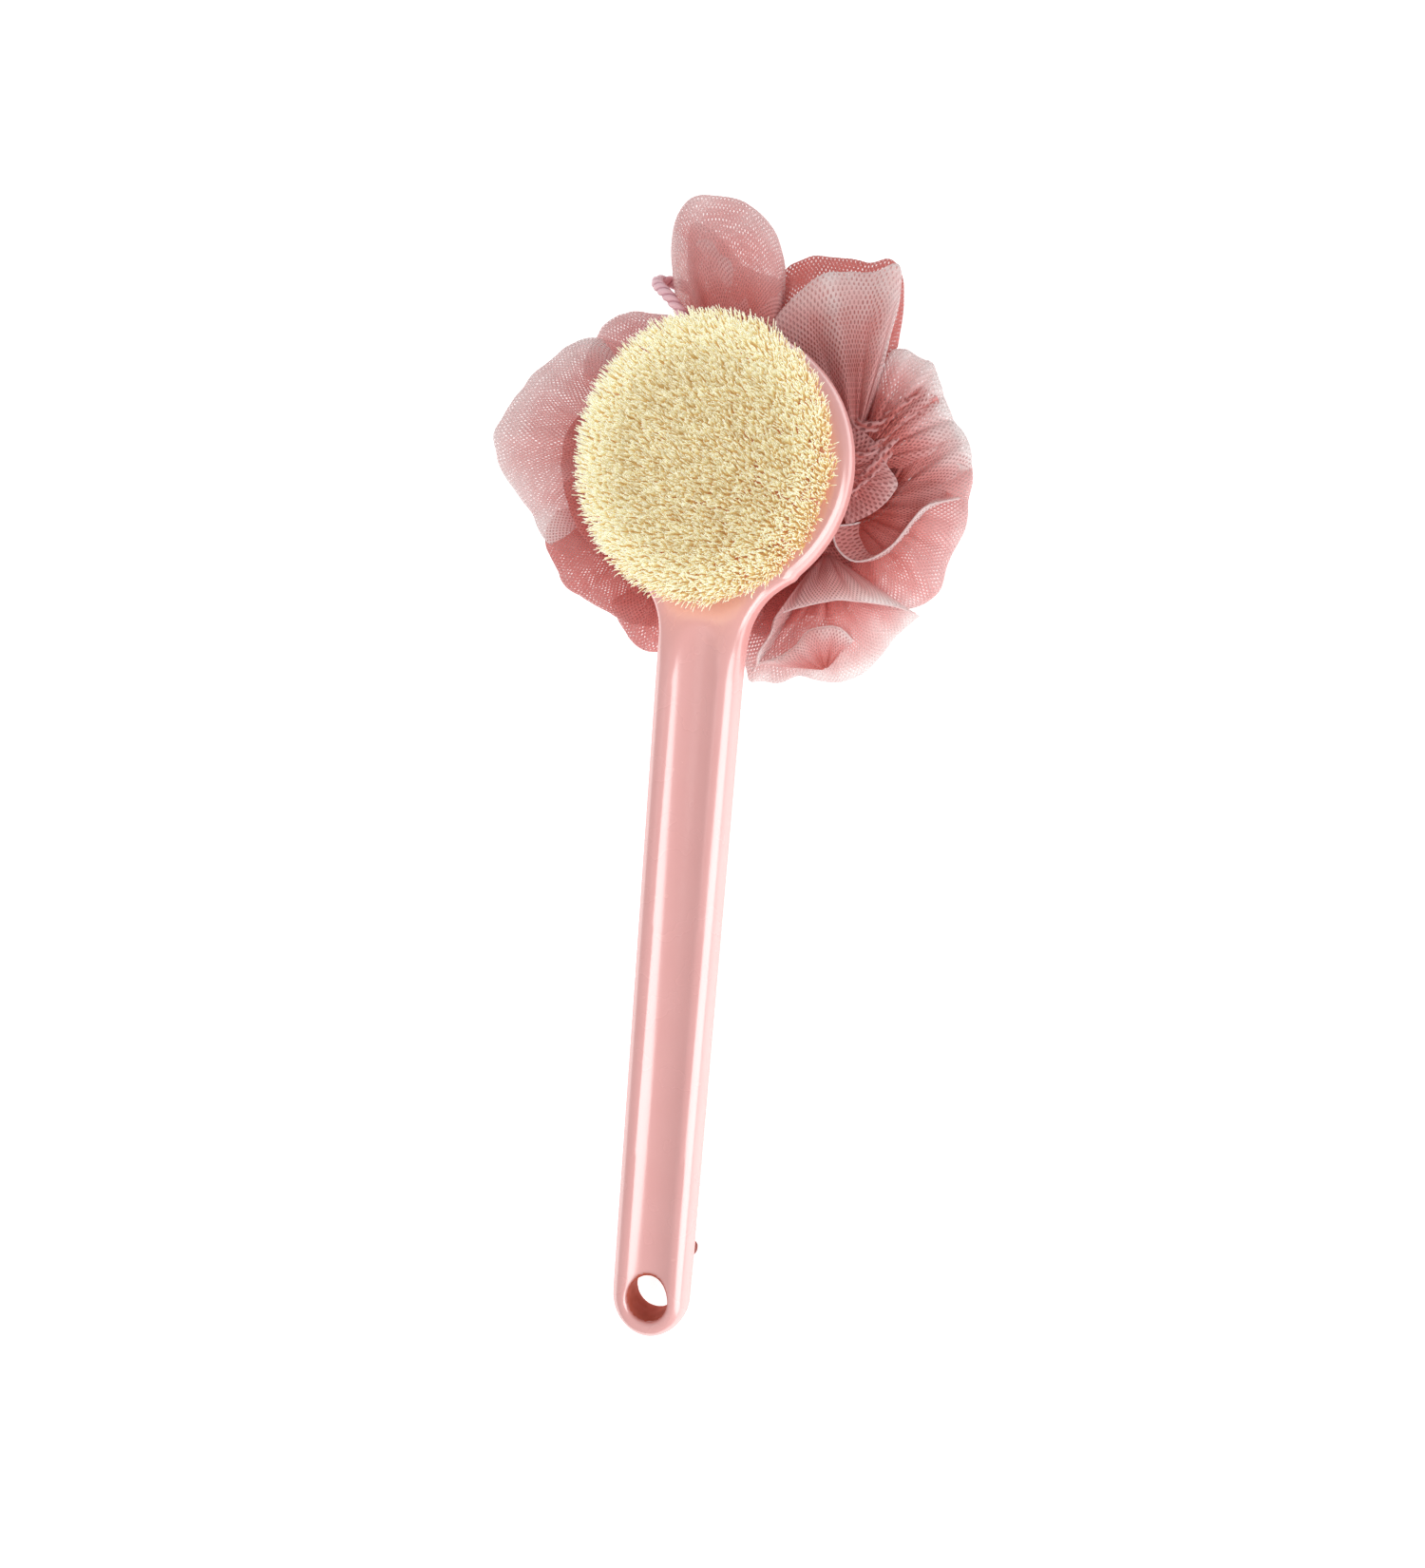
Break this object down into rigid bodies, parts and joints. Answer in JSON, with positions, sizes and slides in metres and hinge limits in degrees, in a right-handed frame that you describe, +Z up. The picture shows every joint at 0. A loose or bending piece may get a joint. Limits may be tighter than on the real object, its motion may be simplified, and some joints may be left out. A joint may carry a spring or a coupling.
{
  "type": "loofah back scrubber",
  "caption": "Long-handled bath brush: round head of nylon bristles, grooved handle with a hanging hole, and a netting pouf tied behind the head.",
  "frame": {"origin": "on the surface that the scrubber lies on, under the middle of its box without the hanging loop", "axes": "+Z up, the way the bristles roughly point; +Y from the tail to the head; +X to the right seen from above. The handle slopes down to the tail by 9.5 degrees."},
  "size_m": [0.169, 0.3946, 0.0867],
  "materials": {
    "moulding": "gloss",
    "bristle": "satin",
    "staple_metal": "satin",
    "netting": "matte",
    "cord": "matte"
  },
  "bodies": {
    "brush": {"brush_body": "moulding", "tuft_01": "bristle", "tuft_02": "bristle", "tuft_03": "bristle", "tuft_04": "bristle", "tuft_05": "bristle", "tuft_06": "bristle", "tuft_07": "bristle", "tuft_08": "bristle", "tuft_09": "bristle", "tuft_10": "bristle", "tuft_11": "bristle", "tuft_12": "bristle", "tuft_13": "bristle", "tuft_14": "bristle", "tuft_15": "bristle", "tuft_16": "bristle", "tuft_17": "bristle", "tuft_18": "bristle", "tuft_19": "bristle", "tuft_20": "bristle", "tuft_21": "bristle", "tuft_22": "bristle", "tuft_23": "bristle", "tuft_24": "bristle", "tuft_25": "bristle", "tuft_26": "bristle", "staple_01": "staple_metal", "staple_02": "staple_metal", "staple_03": "staple_metal", "staple_04": "staple_metal", "staple_05": "staple_metal", "staple_06": "staple_metal", "staple_07": "staple_metal", "staple_08": "staple_metal", "staple_09": "staple_metal", "staple_10": "staple_metal", "staple_11": "staple_metal", "staple_12": "staple_metal", "staple_13": "staple_metal", "staple_14": "staple_metal", "staple_15": "staple_metal", "staple_16": "staple_metal", "staple_17": "staple_metal", "staple_18": "staple_metal", "staple_19": "staple_metal", "staple_20": "staple_metal", "staple_21": "staple_metal", "staple_22": "staple_metal", "staple_23": "staple_metal", "staple_24": "staple_metal", "staple_25": "staple_metal", "staple_26": "staple_metal"},
    "pouf": {"netting": "netting", "binding_ring": "cord", "hanging_loop": "cord"}
  },
  "joints": [
    {"name": "pouf_swivel", "type": "hinge", "parent": "brush", "child": "pouf", "pos_m": [0.0045, 0.09815, 0.04945], "axis": [0, -0.165, 0.9863], "range_deg": [-60, 60]}
  ]
}
